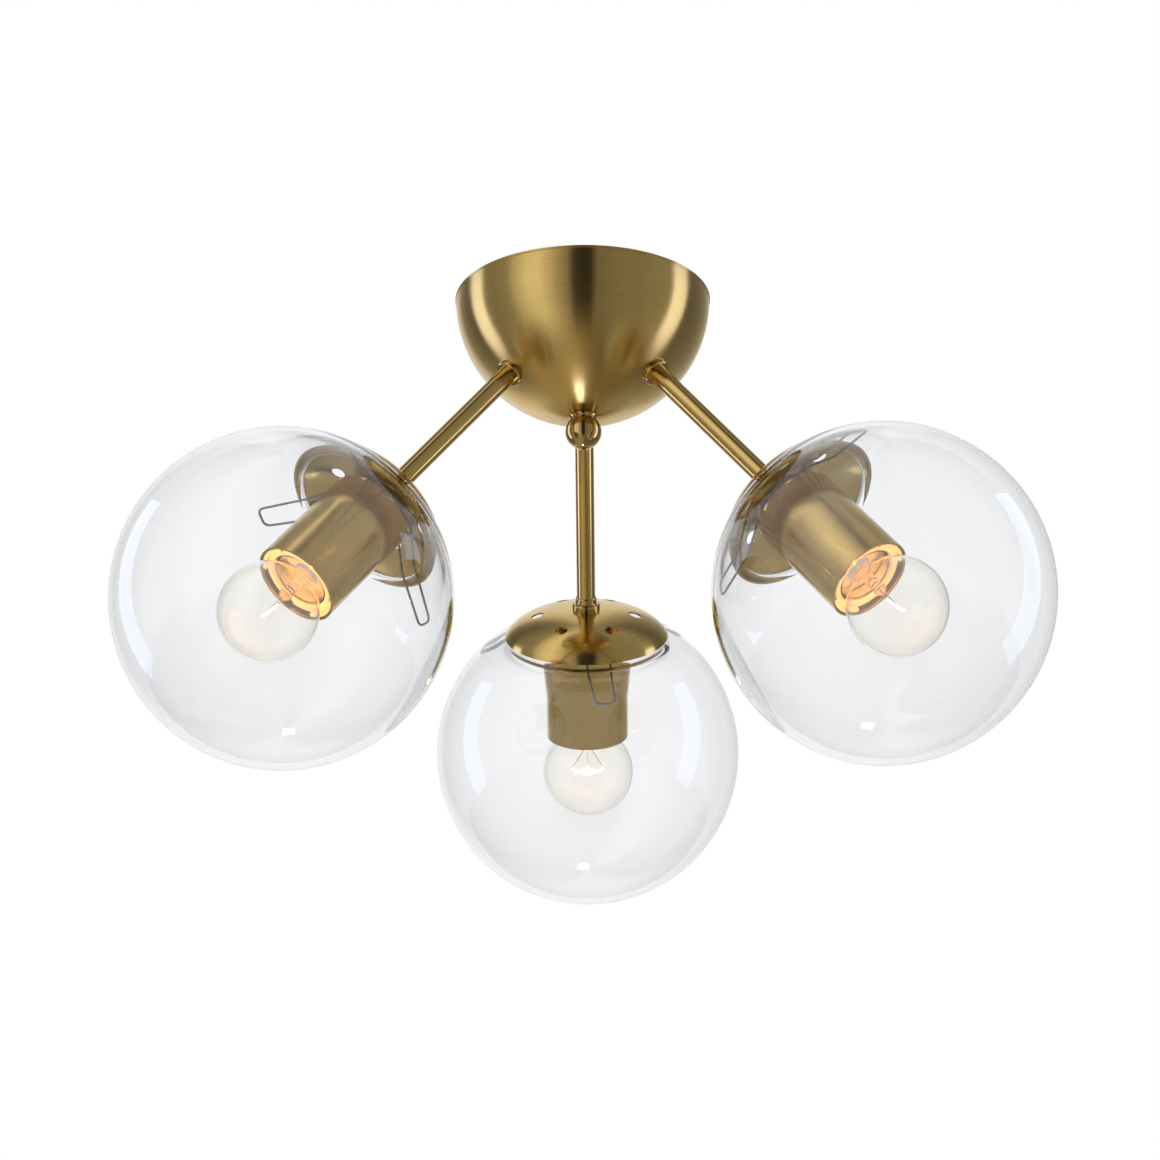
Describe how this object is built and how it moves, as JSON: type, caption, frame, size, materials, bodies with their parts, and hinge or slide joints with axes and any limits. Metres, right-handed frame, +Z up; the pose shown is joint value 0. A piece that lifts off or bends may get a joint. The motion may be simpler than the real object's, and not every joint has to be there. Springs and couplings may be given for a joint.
{
  "type": "semi flush ceiling light",
  "caption": "Semi-flush ceiling light: brass half-ball canopy, splayed arms, and clear glass globes held by spring clips under vented caps.",
  "frame": {"origin": "centre of the canopy's rim, midway between the two slots of the bracket, in the plane of the ceiling", "axes": "+Z up into the ceiling; one arm points to +Y, the other two towards -Y, to -X and +X"},
  "size_m": [0.4116, 0.3766, 0.2519],
  "materials": {
    "satin_brass": "satin brushed brass",
    "aged_brass": "duller turned brass",
    "polished_brass": "polished brass",
    "zinc_steel": "zinc-plated steel",
    "spring_steel": "bare spring steel wire",
    "bright_screw": "bright plated steel",
    "nickel_plate": "nickel-plated brass",
    "block_plastic": "natural white polyamide",
    "holder_plastic": "cream heat-proof plastic",
    "lead_brown": "brown insulation",
    "lead_blue": "blue insulation",
    "lead_earth": "green and yellow insulation",
    "clear_glass": "clear blown glass",
    "bulb_glass": "thin clear lamp glass",
    "bulb_foot": "dark glass insulator with a solder button",
    "lit_filament": "glowing filament"
  },
  "bodies": {
    "ceiling": {"ceiling_bracket": "zinc_steel", "threaded_rod": "zinc_steel", "rod_nuts": "zinc_steel", "terminal_block": "block_plastic", "terminal_screws": "bright_screw", "block_screw": "bright_screw", "earth_screw": "bright_screw", "earth_lead": "lead_earth"},
    "canopy": {"canopy": "satin_brass", "canopy_collars": "polished_brass", "arm_washers": "zinc_steel", "arm_nuts": "zinc_steel", "cap_collars": "polished_brass", "cap_nuts": "zinc_steel", "live_leads": "lead_brown", "neutral_leads": "lead_blue", "arm_tube_right": "satin_brass", "shade_cap_right": "satin_brass", "spring_boss_right": "aged_brass", "spring_clips_right": "spring_steel", "holder_cup_right": "aged_brass", "lampholder_right": "holder_plastic", "screw_shell_right": "nickel_plate", "centre_contact_right": "nickel_plate", "arm_tube_left": "satin_brass", "shade_cap_left": "satin_brass", "spring_boss_left": "aged_brass", "spring_clips_left": "spring_steel", "holder_cup_left": "aged_brass", "lampholder_left": "holder_plastic", "screw_shell_left": "nickel_plate", "centre_contact_left": "nickel_plate", "arm_tube_back": "satin_brass", "shade_cap_back": "satin_brass", "spring_boss_back": "aged_brass", "spring_clips_back": "spring_steel", "holder_cup_back": "aged_brass", "lampholder_back": "holder_plastic", "screw_shell_back": "nickel_plate", "centre_contact_back": "nickel_plate"},
    "finial": {"finial": "polished_brass"},
    "shade_right": {"globe_right": "clear_glass"},
    "bulb_right": {"bulb_glass_right": "bulb_glass", "bulb_base_right": "nickel_plate", "bulb_contact_right": "bulb_foot", "bulb_stem_right": "bulb_glass", "bulb_filament_right": "lit_filament"},
    "shade_left": {"globe_left": "clear_glass"},
    "bulb_left": {"bulb_glass_left": "bulb_glass", "bulb_base_left": "nickel_plate", "bulb_contact_left": "bulb_foot", "bulb_stem_left": "bulb_glass", "bulb_filament_left": "lit_filament"},
    "shade_back": {"globe_back": "clear_glass"},
    "bulb_back": {"bulb_glass_back": "bulb_glass", "bulb_base_back": "nickel_plate", "bulb_contact_back": "bulb_foot", "bulb_stem_back": "bulb_glass", "bulb_filament_back": "lit_filament"}
  },
  "joints": [
    {"name": "canopy_drop", "type": "slide", "parent": "ceiling", "child": "canopy", "axis": [0, 0, -1], "range_m": [0, 0.08], "deforming": ["live_leads", "neutral_leads"]},
    {"name": "finial_unscrew", "type": "slide", "parent": "canopy", "child": "finial", "axis": [0, 0, -1], "range_m": [0, 0.016]},
    {"name": "globe_right_off", "type": "slide", "parent": "canopy", "child": "shade_right", "axis": [0.5624, -0.3247, -0.7604], "range_m": [0, 0.105], "deforming": ["spring_clips_right"]},
    {"name": "bulb_right_unscrew", "type": "slide", "parent": "canopy", "child": "bulb_right", "axis": [0.5624, -0.3247, -0.7604], "range_m": [0, 0.032]},
    {"name": "globe_left_off", "type": "slide", "parent": "canopy", "child": "shade_left", "axis": [-0.5624, -0.3247, -0.7604], "range_m": [0, 0.105], "deforming": ["spring_clips_left"]},
    {"name": "bulb_left_unscrew", "type": "slide", "parent": "canopy", "child": "bulb_left", "axis": [-0.5624, -0.3247, -0.7604], "range_m": [0, 0.032]},
    {"name": "globe_back_off", "type": "slide", "parent": "canopy", "child": "shade_back", "axis": [0, 0.6494, -0.7604], "range_m": [0, 0.105], "deforming": ["spring_clips_back"]},
    {"name": "bulb_back_unscrew", "type": "slide", "parent": "canopy", "child": "bulb_back", "axis": [0, 0.6494, -0.7604], "range_m": [0, 0.032]}
  ]
}
